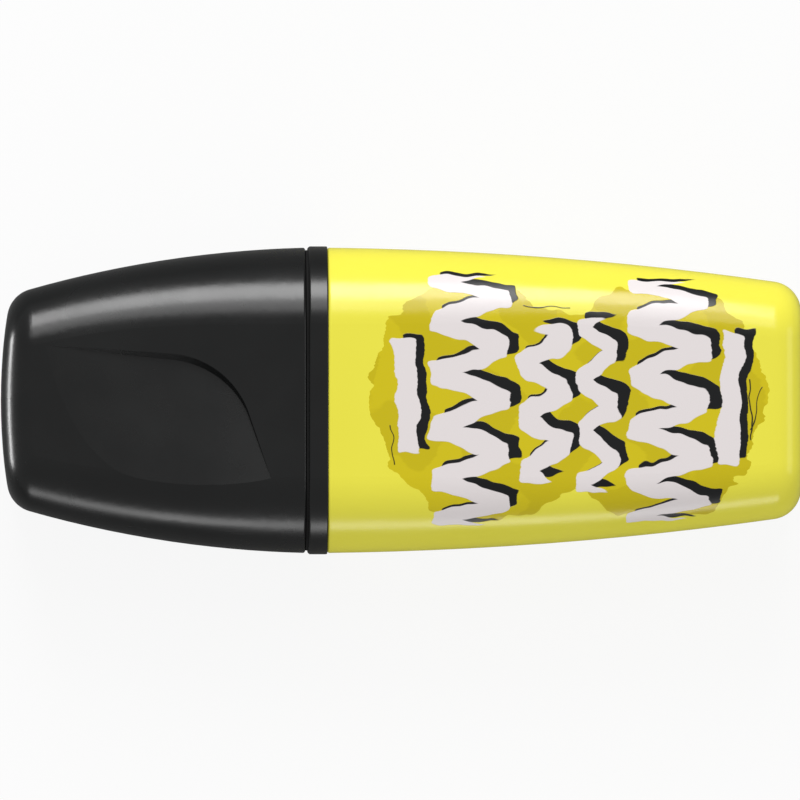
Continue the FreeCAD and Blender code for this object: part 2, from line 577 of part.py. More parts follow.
def wedge(body, name, role, corners):
    """A triangle cut right through the nib from one of its own planes; its corners are expressions."""
    sketch = new_sketch(body, name + "_triangle", role)
    points = [V(value(x), value(y), 0) for x, y in corners]
    for index in range(3):
        add_line(sketch, points[index], points[(index + 1) % 3])
    for index in range(3):
        tie(sketch, "Coincident", index, 2, (index + 1) % 3, 1)
        drive(sketch, "DistanceX", -1, 1, index, 1, by=corners[index][0])
        drive(sketch, "DistanceY", -1, 1, index, 1, by=corners[index][1])
    feature = extrude(body, "Pocket", name, sketch, "2 * sizes.nib_width")
    feature.SideType = "Symmetric"
    return feature


def nib():
    """Felt chisel: a flat bar, its edge slanted across the pen and bevelled on both broad sides."""
    body = doc.addObject("PartDesign::Body", "nib")
    bar = section(body, "nib_section", NIB_TIP, "sizes.nib_width", "sizes.nib_height", "sizes.nib_round")
    extrude(body, "Pad", "nib_bar", bar, f"{NIB_BACK} - {NIB_TIP}")
    side = f"(sizes.nib_width / 2 + {OVERCUT})"
    extra = f"({OVERCUT} * sizes.nib_slant / sizes.nib_width)"
    slant_start = f"{NIB_TIP} - {extra}"
    slant_end = f"{NIB_TIP} + sizes.nib_slant + {extra}"
    wedge(body, "slanted_edge", "XY_Plane",
          [(slant_start, side), (slant_end, f"-{side}"), (slant_start, f"-{side}")])
    for name, up in (("upper_bevel", 1), ("lower_bevel", -1)):
        wedge(body, name, "XZ_Plane",
              [(NIB_TIP, f"{up} * sizes.nib_edge / 2"),
               (f"{NIB_TIP} + sizes.nib_slant + sizes.nib_bevel", f"{up} * sizes.nib_height / 2"),
               (NIB_TIP, f"{up} * sizes.nib_height / 2")])
    return body


def reservoir_core():
    """Bundle of ink-filled fibres, with the hole that the nib's tail is pressed into."""
    body = doc.addObject("PartDesign::Body", "reservoir_core")
    bundle = section(body, "core_section", CORE_FRONT, f"2 * {CORE_HALF_WIDTH}", f"2 * {CORE_HALF_HEIGHT}",
                     CORE_ROUND)
    extrude(body, "Pad", "core", bundle, f"{CORE_BACK} - {CORE_FRONT}")
    hole = section(body, "tail_section", CORE_FRONT, "sizes.nib_width + 2 * sizes.fit_gap",
                   "sizes.nib_height + 2 * sizes.fit_gap", "sizes.nib_round")
    extrude(body, "Pocket", "tail_hole", hole, "sizes.nib_tail + sizes.fit_gap", reverse=True)
    return body


def tube(name, front, length, half_width, half_height, corner, wall, floor, reverse=False):
    """A sleeve of one section along X; with a floor it is a cup, open at its front."""
    body = doc.addObject("PartDesign::Body", name)
    outer = section(body, name + "_outer", front, f"2 * {half_width}", f"2 * {half_height}", corner)
    extrude(body, "Pad", name + "_wall", outer, length, reverse)
    inner = section(body, name + "_inner", front, f"2 * ({half_width} - {wall})",
                    f"2 * ({half_height} - {wall})", f"{corner} - {wall}")
    extrude(body, "Pocket", name + "_inside", inner, f"{length} - {floor}", not reverse)
    return body


def reservoir_film():
    """Thin plastic sleeve around the fibre bundle."""
    return tube("reservoir_film", CORE_FRONT, f"({CORE_BACK} - {CORE_FRONT})", FILM_HALF_WIDTH,
                FILM_HALF_HEIGHT, f"({CORE_ROUND} + {FILM_THICKNESS})", "sizes.film_wall", "0")


def cap_liner():
    """Sealing cup inside the cap, which closes on the spigot's face around the nose."""
    return tube("cap_liner", LINER_MOUTH, f"({LINER_MOUTH} - {LINER_FLOOR})", LINER_HALF_WIDTH,
                LINER_HALF_HEIGHT, LINER_ROUND, "sizes.liner_wall", "sizes.liner_wall", reverse=True)


def place(piece):
    """Move a piece from the working origin to the part's own: the closed pen centred, on the ground."""
    piece.setExpression("Placement.Base.x", PEN_SHIFT)
    piece.setExpression("Placement.Base.z", "sizes.thickness / 2")


def check(objects):
    for item in objects:
        if "Invalid" in item.State or "Error" in item.State:
            raise RuntimeError(f"{item.Name} failed: {item.State}")


PIECES = [barrel(), front_section(), nib(), reservoir_core(), reservoir_film(), cap_shell(), cap_liner()]
for piece in PIECES:
    piece.Label = piece.Name
    place(piece)
doc.recompute()
check(doc.Objects)
for piece in PIECES:
    if piece.Shape.isNull() or not piece.Shape.isValid():
        raise RuntimeError(f"{piece.Label} has no valid shape")
    if len(piece.Shape.Solids) != 1:
        raise RuntimeError(f"{piece.Label} is {len(piece.Shape.Solids)} solids")

os.makedirs("parts", exist_ok=True)
for piece in PIECES:
    piece.Shape.exportStep(f"parts/{piece.Label}.step")
    print(f"{piece.Label}: {piece.Shape.Volume:.1f} mm3")
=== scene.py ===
# %% [markdown]
# # A pocket highlighter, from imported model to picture
# The pen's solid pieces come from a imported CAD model, already in their places: a yellow barrel, a
# black front section and cap, and the felt, fibre, film and sealing cup inside. This lesson sets
# the camera and the light, shapes the felt nib again, softer than its CAD solid, and gives each
# piece the finish of the real thing.

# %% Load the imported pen
import math

import bpy
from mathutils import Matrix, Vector


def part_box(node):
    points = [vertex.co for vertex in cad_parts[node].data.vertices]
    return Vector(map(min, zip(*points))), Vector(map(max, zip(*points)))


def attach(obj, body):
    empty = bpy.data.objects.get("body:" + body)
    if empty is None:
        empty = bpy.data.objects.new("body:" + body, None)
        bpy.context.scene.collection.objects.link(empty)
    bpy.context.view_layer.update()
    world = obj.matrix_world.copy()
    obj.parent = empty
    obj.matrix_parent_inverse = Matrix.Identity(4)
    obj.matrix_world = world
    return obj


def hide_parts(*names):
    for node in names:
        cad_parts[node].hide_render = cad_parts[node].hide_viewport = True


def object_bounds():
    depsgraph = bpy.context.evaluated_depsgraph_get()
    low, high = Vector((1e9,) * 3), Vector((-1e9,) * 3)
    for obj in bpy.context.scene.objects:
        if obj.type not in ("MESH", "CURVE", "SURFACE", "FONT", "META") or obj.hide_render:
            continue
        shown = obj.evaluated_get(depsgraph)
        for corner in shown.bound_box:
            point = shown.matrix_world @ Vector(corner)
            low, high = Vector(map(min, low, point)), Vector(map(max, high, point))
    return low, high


MM = 0.001
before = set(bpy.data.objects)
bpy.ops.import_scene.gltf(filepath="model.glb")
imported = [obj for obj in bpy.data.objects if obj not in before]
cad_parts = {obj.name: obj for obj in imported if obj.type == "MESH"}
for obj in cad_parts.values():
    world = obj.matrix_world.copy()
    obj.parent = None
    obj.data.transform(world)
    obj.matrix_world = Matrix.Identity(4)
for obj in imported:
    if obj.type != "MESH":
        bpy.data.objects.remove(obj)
cad_low, cad_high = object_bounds()
pen_middle = (cad_low + cad_high) / 2
print("pen size in mm:", [round(side / MM, 2) for side in cad_high - cad_low])

# %% [markdown]
# ## Camera
# The pen lies flat and is seen from straight above, with its cap to the left. A camera with no
# turn looks down -Z with X to the right and Y up, so it only needs a slight tilt towards the cap,
# whose rounded end shows a little more than the barrel's. A very long lens keeps the pen's sides
# from spreading, as a plain camera close by would make them do. The distance is worked out from
# how wide a strip the picture should take in where the pen is widest.

# %% Camera
LENS = 500.0
SENSOR = 36.0
VIEW_WIDTH = 72.78 * MM
CAMERA_TILT = math.radians(1.35)
# the pen's outline, seen from above, lies a little over mid-depth
OUTLINE_HEIGHT = 10.0 * MM
# the pen's middle falls this far right of the picture's middle, and this far below it
AIM_SHIFT = Vector((-0.06, 0.03, 0)) * MM

camera_data = bpy.data.cameras.new("camera")
camera_data.lens = LENS
camera_data.sensor_width = SENSOR
camera_data.clip_start = 0.01
camera_data.clip_end = 10
camera = bpy.data.objects.new("camera", camera_data)
bpy.context.scene.collection.objects.link(camera)
aim = Vector((pen_middle.x, pen_middle.y, OUTLINE_HEIGHT)) + AIM_SHIFT
camera_distance = VIEW_WIDTH * LENS / SENSOR
camera.rotation_euler = (0, -CAMERA_TILT, 0)
camera.location = aim + camera_distance * Vector((-math.sin(CAMERA_TILT), 0, math.cos(CAMERA_TILT)))
bpy.context.scene.camera = camera
bpy.context.scene.view_settings.view_transform = "Standard"
print("camera distance in mm:", round(camera_distance / MM, 1))

# %% [markdown]
# ## Light
# Smooth black plastic is drawn by what it mirrors, so the lamps are placed by where their
# reflections fall on its rounded edges. A softbox on the far side gives the bright band there,
# and a taller, dimmer one above it lets that band fade out softly towards the flat face. A low
# strip on the near side gives the fainter band. A very small strip stands close to the cap's end,
# lower than the pen's flat face, so that it lights the rounded rim there and can't dazzle in the
# flat face. A wide, dim panel past the barrel's end lights the rim at that end. They are area
# lights, which give soft shadows, and they are hidden from the camera.

# %% Softboxes
# watts per square metre that make a panel as bright as a white card in plain light
CARD_WATTS = math.pi


def softbox(name, compass, rise, width, height, brightness, distance=0.6):
    """An area light that faces the pen; compass 0 is +X and 90 is +Y, and rise is above the floor."""
    turn, lift = math.radians(compass), math.radians(rise)
    away = Vector((math.cos(turn) * math.cos(lift), math.sin(turn) * math.cos(lift), math.sin(lift)))
    panel = bpy.data.lights.new(name, "AREA")
    panel.shape = "RECTANGLE"
    panel.size, panel.size_y = width, height
    panel.energy = brightness * width * height * CARD_WATTS
    lamp = bpy.data.objects.new(name, panel)
    lamp.location = pen_middle + distance * away
    lamp.rotation_euler = away.to_track_quat("Z", "Y").to_euler()
    lamp.visible_camera = False
    bpy.context.scene.collection.objects.link(lamp)
    print("lamp:", name, "watts", round(panel.energy, 2))


softbox("far_softbox", 94, 38, width=0.30, height=0.26, brightness=10.4)
softbox("high_softbox", 92, 60, width=0.36, height=0.21, brightness=2.9)
softbox("near_strip", 270, 11, width=0.50, height=0.15, brightness=4.4)
softbox("cap_end_strip", 180, 0, width=0.07, height=0.016, brightness=26.0, distance=0.14)
softbox("barrel_end_strip", 0, 20, width=0.30, height=0.24, brightness=1.5)

# %% [markdown]
# The room around the lamps is an even, dim grey. It fills the shadows and puts a faint grey
# on the cap's flat face, as a real room does.

# %% Room
ROOM_BRIGHTNESS = 0.36
room = bpy.data.worlds.new("room")
bpy.context.scene.world = room
room.use_nodes = True
background = room.node_tree.nodes["Background"]
background.inputs["Color"].default_value = (1, 1, 1, 1)
background.inputs["Strength"].default_value = ROOM_BRIGHTNESS
print("room brightness:", ROOM_BRIGHTNESS)

# %% [markdown]
# ## Two helpers for materials
# Colours are written as on a screen, in sRGB, but shaders count in linear light, so one function
# turns them. Another adds any node, sets it up and links it in one line. The CAD is in metres and
# finishes are thought of in millimetres, so each material first scales Object coordinates to mm.

# %% Colours and nodes
def linear(text):
    """The linear colour, with alpha, of an sRGB hex value."""
    shares = [int(text[place:place + 2], 16) / 255 for place in (0, 2, 4)]
    return tuple(s / 12.92 if s <= 0.04045 else ((s + 0.055) / 1.055) ** 2.4 for s in shares) + (1.0,)


def add(tree, kind, settings=None, **inputs):
    """Adds a node. Each input is named, or numbered as i0, i1; its value is a setting or a link."""
    node = tree.nodes.new(kind)
    for name, value in (settings or {}).items():
        setattr(node, name, value)
    for key, source in inputs.items():
        socket = node.inputs[int(key[1:]) if key[1:].isdigit() else key.replace("_", " ")]
        if isinstance(source, bpy.types.NodeSocket):
            tree.links.new(source, socket)
        else:
            socket.default_value = source
    return next((socket for socket in node.outputs if socket.enabled), None)


def new_material(name):
    """An empty material, its node tree, and Object coordinates in millimetres."""
    material = bpy.data.materials.new(name)
    material.use_nodes = True
    tree = material.node_tree
    tree.nodes.clear()
    place = tree.nodes.new("ShaderNodeTexCoord").outputs["Object"]
    millimetres = add(tree, "ShaderNodeVectorMath", {"operation": "SCALE"}, i0=place, Scale=1 / MM)
    return material, tree, millimetres


print("mid grey in linear light:", round(linear("808080")[0], 3))

# %% [markdown]
# ## Floor
# The pen lies on a sweep of white paper. Lit plainly, paper comes out a light grey, so where the
# camera looks straight at it most of its brightness is set to white. The rest is real paper, which
# takes the pen's soft shadow and bounces light up at its sides. Glossy black things are often lit
# with dark cards just out of view, which draw a crisp dark edge along the sides. Here the paper
# itself does that: a mirror image of it is darker than the paper.

# %% Floor
FLOOR_SIZE = 4.0
# how much of the paper's brightness is set to white, seen directly and in a mirror image
WHITE_SHARE = 0.9
MIRRORED_SHARE = 0.05
PAPER = "e2e2e2"
PAPER_FLECK = "dedede"
MIRRORED_PAPER = "6a6a6a"
# size of the flecks in the paper, in mm
FLECK_SIZE = 0.8

paper, tree, millimetres = new_material("matt_paper_sweep")
path = tree.nodes.new("ShaderNodeLightPath")
mirrored = add(tree, "ShaderNodeMath", {"operation": "MAXIMUM"},
               i0=path.outputs["Is Glossy Ray"], i1=path.outputs["Is Transmission Ray"])
mirrored_white = add(tree, "ShaderNodeMath", {"operation": "MULTIPLY"}, i0=mirrored, i1=MIRRORED_SHARE)
white_share = add(tree, "ShaderNodeMath", {"operation": "MULTIPLY_ADD"},
                  i0=path.outputs["Is Camera Ray"], i1=WHITE_SHARE, i2=mirrored_white)
flecks = add(tree, "ShaderNodeTexNoise", Vector=millimetres, Scale=1 / FLECK_SIZE, Detail=3.0)
shade = add(tree, "ShaderNodeMix", {"data_type": "RGBA"}, i0=flecks, i6=linear(PAPER),
            i7=linear(PAPER_FLECK))
shade = add(tree, "ShaderNodeMix", {"data_type": "RGBA"}, i0=mirrored, i6=shade,
            i7=linear(MIRRORED_PAPER))
matt = add(tree, "ShaderNodeBsdfDiffuse", Color=shade)
white = add(tree, "ShaderNodeEmission", Color=(1, 1, 1, 1), Strength=1.0)
surface = add(tree, "ShaderNodeMixShader", Fac=white_share, i1=matt, i2=white)
tree.links.new(surface, tree.nodes.new("ShaderNodeOutputMaterial").inputs["Surface"])

bpy.ops.mesh.primitive_plane_add(size=FLOOR_SIZE, location=(pen_middle.x, pen_middle.y, cad_low.z))
floor = bpy.context.object
floor.name = "floor"
floor.data.materials.append(paper)
print("floor at", round(cad_low.z / MM, 3), "mm")

# %% [markdown]
# ## Barrel print
# The barrel carries a screen print in three inks: a loose patch of deeper yellow, black over it,
# and off-white over that. The print is plain: four rows scribbled to and fro with a broad marker,
# between two single strokes, and a few thin pen lines. An ink layer is about a hundredth of a
# millimetre thick, so it is part of the barrel's material and not a mesh, and drawn from numbers
# its edges stay sharp.
#
# What counts is how far a point lies outside the ink. A scribbled row is a zigzag: folded back on
# itself along Y at every turn, all its strokes become one slanted stroke. A colour ramp with
# constant steps is the table of rows: it is read at a point's X, and its red, green, blue and
# alpha are the row's middle, half its width, its lower end and its upper end.

# %% Print sizes, in mm on the pen
# each row's middle in X, half its width, where its first stroke starts in Y, and its strokes
ROWS = [(6.15, 3.6, -12.0, 10), (12.75, 2.4, -6.3, 5), (17.6, 1.9, -7.7, 6), (24.05, 3.8, -12.2, 10)]
# from one turn of the zigzag to the next, and the marker's width
STROKE_RISE = 2.4
STROKE_WIDTH = 1.85
# single strokes and pen lines: middle in X and Y, length along Y, width, and tilt in degrees
SINGLE_STROKES = [(0.35, 0.3, 10.8, 1.9, 3), (29.6, 0.2, 12.0, 1.9, -4)]
PEN_LINES = [(31.5, -0.8, 5.4, 0.12, 8), (32.1, -0.7, 3.6, 0.11, -16), (-0.9, -3.9, 3.4, 0.10, 12),
             (13.2, 8.5, 4.2, 0.12, 80)]
# the patch of deeper yellow: at each X, its lower and upper edge in Y
PATCH_EDGES = [(-4.0, 5.0, -2.0), (-2.2, -4.2, 5.2), (0.9, -8.2, 10.4), (4.5, -12.9, 12.3),
               (9.5, -12.3, 11.4), (13.4, -9.8, 6.6), (16.6, -7.2, 8.6), (19.8, -12.6, 11.6),
               (27.6, -12.3, 11.2), (30.2, -7.8, 8.0), (32.0, -4.4, 4.9), (34.0, 3.0, -4.0)]
# how round a marker stroke's corners are, and a pen line's
STROKE_CORNER = 0.5
PEN_CORNER = 0.02
# a table holds lengths from this one up, over this span, so that each fits between 0 and 1
TABLE_LOW = -13.0
TABLE_SPAN = 48.0
print("print:", len(ROWS), "rows,", len(SINGLE_STROKES), "strokes,", len(PEN_LINES), "pen lines")


# %% What the print's fields share
def new_field(name):
    """A node group from a place in mm to how far it lies outside the ink, with the place's X and Y."""
    group = bpy.data.node_groups.new(name, "ShaderNodeTree")
    group.interface.new_socket("Place", in_out="INPUT", socket_type="NodeSocketVector")
    group.interface.new_socket("Outside", in_out="OUTPUT", socket_type="NodeSocketFloat")
    place = group.nodes.new("NodeGroupInput").outputs[0]
    axes = add(group, "ShaderNodeSeparateXYZ", i0=place).node.outputs
    return group, place, axes["X"], axes["Y"]


def read_table(group, x, stops, interpolation):
    """A colour ramp read at X; each stop is an X and two or four lengths, all in mm."""
    share = add(group, "ShaderNodeMapRange", i0=x, i1=TABLE_LOW, i2=TABLE_LOW + TABLE_SPAN)
    ramp_node = add(group, "ShaderNodeValToRGB", i0=share).node
    ramp_node.color_ramp.interpolation = interpolation
    while len(ramp_node.color_ramp.elements) < len(stops):
        ramp_node.color_ramp.elements.new(1.0)
    for element, stop in zip(ramp_node.color_ramp.elements, stops):
        shares = [(length - TABLE_LOW) / TABLE_SPAN for length in stop]
        element.position = shares[0]
        element.color = (shares[1:] + [0, 0])[:4]
    lengths = list(add(group, "ShaderNodeSeparateColor", i0=ramp_node.outputs["Color"]).node.outputs)
    lengths.append(ramp_node.outputs["Alpha"])
    return [add(group, "ShaderNodeMath", {"operation": "MULTIPLY_ADD"}, i0=share, i1=TABLE_SPAN,
                i2=TABLE_LOW) for share in lengths]


print("tables hold lengths from", TABLE_LOW, "to", TABLE_LOW + TABLE_SPAN, "mm")

# %% [markdown]
# A single stroke is a box turned a little. Seen from the box's own middle, a point's distance past
# its sides, whichever is more, says how far outside it lies. The maximum is a smooth one, which
# rounds the corners as a marker does.

# %% Field of single strokes
def box_field(name, boxes, corner):
    """How far a place lies outside the nearest of a few turned boxes."""
    group, place, _, _ = new_field(name)
    nearest = None
    for x, y, length, width, tilt in boxes:
        local = add(group, "ShaderNodeMapping", {"vector_type": "TEXTURE"}, Vector=place,
                    Location=(x, y, 0), Rotation=(0, 0, math.radians(tilt)))
        reach = add(group, "ShaderNodeVectorMath", {"operation": "ABSOLUTE"}, i0=local)
        past = add(group, "ShaderNodeVectorMath", {"operation": "SUBTRACT"}, i0=reach,
                   i1=(width / 2, length / 2, 0))
        sides = add(group, "ShaderNodeSeparateXYZ", i0=past).node.outputs
        outside = add(group, "ShaderNodeMath", {"operation": "SMOOTH_MAX"}, i0=sides["X"],
                      i1=sides["Y"], i2=corner)
        nearest = outside if nearest is None else add(
            group, "ShaderNodeMath", {"operation": "MINIMUM"}, i0=nearest, i1=outside)
    add(group, "NodeGroupOutput", i0=nearest)
    print("field:", name, len(group.nodes), "nodes")
    return group


single_strokes = box_field("single_strokes", SINGLE_STROKES, STROKE_CORNER)
pen_lines = box_field("pen_lines", PEN_LINES, PEN_CORNER)

# %% [markdown]
# A row takes its own middle, width and ends from the table. Between its lower and upper end the
# height is folded, and a stroke's slant across the row is taken off, so what is left is how far a
# point lies from the middle of its stroke.

# %% Field of the scribbled rows
def row_field(name, rows, corner):
    """How far a place lies outside the zigzag of the row it is in."""
    group, place, x, y = new_field(name)
    stops = []
    row_end = TABLE_LOW
    for middle, half, start, strokes in rows:
        # a row's table entry starts midway across the bare gap before it
        entry = (row_end + middle - half) / 2
        stops.append((entry, middle, half, start, start + strokes * STROKE_RISE))
        row_end = middle + half
    middle, half, start, end = read_table(group, x, stops, "CONSTANT")
    along = add(group, "ShaderNodeMath", {"operation": "SUBTRACT"}, i0=x, i1=middle)
    share = add(group, "ShaderNodeMath", {"operation": "DIVIDE"}, i0=along, i1=half)
    slant = add(group, "ShaderNodeMath", {"operation": "MULTIPLY_ADD"}, i0=share,
                i1=STROKE_RISE / 2, i2=STROKE_RISE / 2)
    risen = add(group, "ShaderNodeMath", {"operation": "SUBTRACT"}, i0=y, i1=start)
    folded = add(group, "ShaderNodeMath", {"operation": "PINGPONG"}, i0=risen, i1=STROKE_RISE)
    across = add(group, "ShaderNodeMath", {"operation": "SUBTRACT"}, i0=folded, i1=slant)
    across = add(group, "ShaderNodeMath", {"operation": "ABSOLUTE"}, i0=across)
    beside = add(group, "ShaderNodeMath", {"operation": "SUBTRACT"}, i0=across, i1=STROKE_WIDTH / 2)
    # a turn is as round as the marker is wide, so the row reaches half that past its strokes
    reach = add(group, "ShaderNodeMath", {"operation": "ABSOLUTE"}, i0=along)
    beyond = add(group, "ShaderNodeMath", {"operation": "SUBTRACT"}, i0=reach, i1=half)
    outside = add(group, "ShaderNodeMath", {"operation": "SMOOTH_MAX"}, i0=beside, i1=beyond, i2=corner)
    below = add(group, "ShaderNodeMath", {"operation": "SUBTRACT"}, i0=start, i1=y)
    above = add(group, "ShaderNodeMath", {"operation": "SUBTRACT"}, i0=y, i1=end)
    ends = add(group, "ShaderNodeMath", {"operation": "MAXIMUM"}, i0=below, i1=above)
    ends = add(group, "ShaderNodeMath", {"operation": "SUBTRACT"}, i0=ends, i1=STROKE_WIDTH / 2)
    outside = add(group, "ShaderNodeMath", {"operation": "SMOOTH_MAX"}, i0=outside, i1=ends, i2=corner)
    add(group, "NodeGroupOutput", i0=outside)
    print("field:", name, len(group.nodes), "nodes")
    return group


scribbled_rows = row_field("scribbled_rows", ROWS, STROKE_CORNER)

# %% [markdown]
# The patch is a table too, but a smooth one: its lower and upper edge flow from stop to stop. At
# both ends the lower edge passes above the upper one, which closes the patch.

# %% Field of the patch
def patch_field(name, edges):
    """How far a place lies above or below the patch of deeper yellow."""
    group, place, x, y = new_field(name)
    low, high, _, _ = read_table(group, x, edges, "B_SPLINE")
    below = add(group, "ShaderNodeMath", {"operation": "SUBTRACT"}, i0=low, i1=y)
    above = add(group, "ShaderNodeMath", {"operation": "SUBTRACT"}, i0=y, i1=high)
    outside = add(group, "ShaderNodeMath", {"operation": "MAXIMUM"}, i0=below, i1=above)
    add(group, "NodeGroupOutput", i0=outside)
    print("field:", name, len(group.nodes), "nodes")
    return group


patch = patch_field("patch", PATCH_EDGES)

# %% [markdown]
# ## Yellow barrel
# The barrel is polypropylene, injection moulded and opaque, in a warm lemon yellow. Its mould was
# polished, so it gives the eye a soft gloss with a fine waviness. The pigment flows a little
# unevenly. The print's inks lie on it in order: patch, black, off-white.

# %% Yellow polypropylene, moulded glossy and screen printed: its colours and sizes
YELLOW = "ece54b"
YELLOW_DEEP = "e7df42"
PATCH_INK = "cfbe12"
PATCH_OVERLAP_INK = "c6b50d"
BLACK_INK = "06080a"
OFF_WHITE_INK = "e2dbdb"
# the black strokes lie this far to the right of and above the white ones, in mm
SHADOW_SHIFT = (0.85, 0.6, 0)
# size of the pigment's drift, the gloss's waviness and the moulded grain, in mm
PIGMENT_DRIFT = 12.0
GLOSS_WAVE = 2.2
MOULD_GRAIN = 0.3
# the real streaks are about 0.1 mm apart; drawn as coarse as they need to show
STREAK = 0.34
# streaks are this much longer along X than apart
STREAK_STRETCH = 1 / 0.06
# half of the width over which an ink's edge fades
INK_EDGE = 0.03
POLYPROPYLENE_IOR = 1.49

yellow_plastic, tree, millimetres = new_material("yellow_polypropylene_moulded_printed")
print("yellow:", YELLOW, "drifting to", YELLOW_DEEP)

# %% [markdown]
# The print wraps the barrel's rounded shoulders. A flat pattern would smear down the sides, so Y
# is measured along the surface: what the surface has dropped below the flat face is added to it.

# %% The barrel's surface, unrolled
sides = add(tree, "ShaderNodeSeparateXYZ", i0=millimetres).node.outputs
drop = add(tree, "ShaderNodeMath", {"operation": "SUBTRACT"}, i0=cad_high.z / MM, i1=sides["Z"])
far_or_near = add(tree, "ShaderNodeMath", {"operation": "SIGN"}, i0=sides["Y"])
wrapped = add(tree, "ShaderNodeMath", {"operation": "MULTIPLY_ADD"}, i0=far_or_near, i1=drop,
              i2=sides["Y"])
unrolled = add(tree, "ShaderNodeCombineXYZ", X=sides["X"], Y=wrapped)
print("unrolled from the flat face at", round(cad_high.z / MM, 2), "mm")

# %% [markdown]
# A marker stroke doesn't end in a clean line: its felt runs dry in streaks. So a place is pushed
# about before it is looked up, by a soft noise and by a noise that is stretched along the strokes.

# %% Pushed places, and the inks found there
def pushed(wobble, dryness, seed):
    """Unrolled places, pushed about by a soft noise as wide as a stroke and by streaks along X."""
    shifted = add(tree, "ShaderNodeVectorMath", {"operation": "ADD"}, i0=millimetres, i1=(seed, 0, 0))
    soft = add(tree, "ShaderNodeTexNoise", Vector=shifted, Scale=1 / STROKE_RISE, Detail=1.0)
    soft = add(tree, "ShaderNodeVectorMath", {"operation": "SUBTRACT"},
               i0=soft.node.outputs["Color"], i1=(0.5, 0.5, 0.5))
    soft = add(tree, "ShaderNodeVectorMath", {"operation": "SCALE"}, i0=soft, Scale=wobble)
    drawn_out = add(tree, "ShaderNodeVectorMath", {"operation": "MULTIPLY"}, i0=shifted,
                    i1=(1 / STREAK_STRETCH, 1, 0))
    streaks = add(tree, "ShaderNodeTexNoise", Vector=drawn_out, Scale=1 / STREAK, Detail=1.0)
    streaks = add(tree, "ShaderNodeMath", {"operation": "MULTIPLY_ADD"}, i0=streaks, i1=dryness,
                  i2=-dryness / 2)
    streaks = add(tree, "ShaderNodeCombineXYZ", X=streaks)
    push = add(tree, "ShaderNodeVectorMath", {"operation": "ADD"}, i0=soft, i1=streaks)
    return add(tree, "ShaderNodeVectorMath", {"operation": "ADD"}, i0=unrolled, i1=push)


def ink(place, *fields):
    """1 inside any of some fields and 0 outside, with a narrow soft edge."""
    nearest = None
    for field in fields:
        outside = add(tree, "ShaderNodeGroup", {"node_tree": field}, i0=place)
        nearest = outside if nearest is None else add(
            tree, "ShaderNodeMath", {"operation": "MINIMUM"}, i0=nearest, i1=outside)
    return add(tree, "ShaderNodeMapRange", i0=nearest, i1=INK_EDGE, i2=-INK_EDGE)


brushed = pushed(wobble=1.5, dryness=0.2, seed=0)
white_ink = ink(brushed, scribbled_rows, single_strokes)
shadow_place = add(tree, "ShaderNodeVectorMath", {"operation": "SUBTRACT"}, i0=brushed,
                   i1=SHADOW_SHIFT)
shadow_ink = ink(shadow_place, scribbled_rows, single_strokes)
line_ink = ink(pushed(wobble=1.6, dryness=0, seed=7), pen_lines)
black_ink = add(tree, "ShaderNodeMath", {"operation": "MAXIMUM"}, i0=shadow_ink, i1=line_ink)
patch_ink = ink(pushed(wobble=3.2, dryness=0.5, seed=19), patch)
inked = add(tree, "ShaderNodeMath", {"operation": "MAXIMUM"}, i0=white_ink, i1=black_ink)
print("inks placed:", len(tree.nodes), "nodes so far")

# %% [markdown]
# Colour is laid down as in printing: the plastic first, then each ink over it where its mask is 1.
# Where two passes of the marker overlap, the patch is a shade deeper.

# %% The barrel's colour
# size of a marker's pass over the patch, in mm
PASS_SIZE = 5.5
passes = add(tree, "ShaderNodeTexNoise", Vector=pushed(wobble=1.5, dryness=0.6, seed=31),
             Scale=1 / PASS_SIZE, Detail=0.0)
overlap = add(tree, "ShaderNodeMapRange", i0=passes, i1=0.49, i2=0.51)
patch_tone = add(tree, "ShaderNodeMix", {"data_type": "RGBA"}, i0=overlap, i6=linear(PATCH_INK),
                 i7=linear(PATCH_OVERLAP_INK))

drift = add(tree, "ShaderNodeTexNoise", Vector=millimetres, Scale=1 / PIGMENT_DRIFT, Detail=2.0)
colour = add(tree, "ShaderNodeMix", {"data_type": "RGBA"}, i0=drift, i6=linear(YELLOW),
             i7=linear(YELLOW_DEEP))
for mask, tone in ((patch_ink, patch_tone), (black_ink, linear(BLACK_INK)),
                   (white_ink, linear(OFF_WHITE_INK))):
    colour = add(tree, "ShaderNodeMix", {"data_type": "RGBA"}, i0=mask, i6=colour, i7=tone)
print("colour mixed:", len(tree.nodes), "nodes so far")

# %% [markdown]
# Ink dries a little duller than the moulded plastic, and stands a hundredth of a millimetre proud.
# The gloss drifts where the pen is held. Waviness and grain are a micrometre or two high: on a
# glossy surface even that bends the edges of the bright bands.

# %% The barrel's gloss and relief
# size of the places where the pen is held, in mm
HELD_PLACE = 9.0
# roughness at its best and worst, and how much an ink adds
GLOSS_BEST = 0.19
GLOSS_WORST = 0.25
INK_DULLNESS = 0.10
# heights in mm
WAVE_HEIGHT = 0.0016
GRAIN_HEIGHT = 0.0012
INK_HEIGHT = 0.012

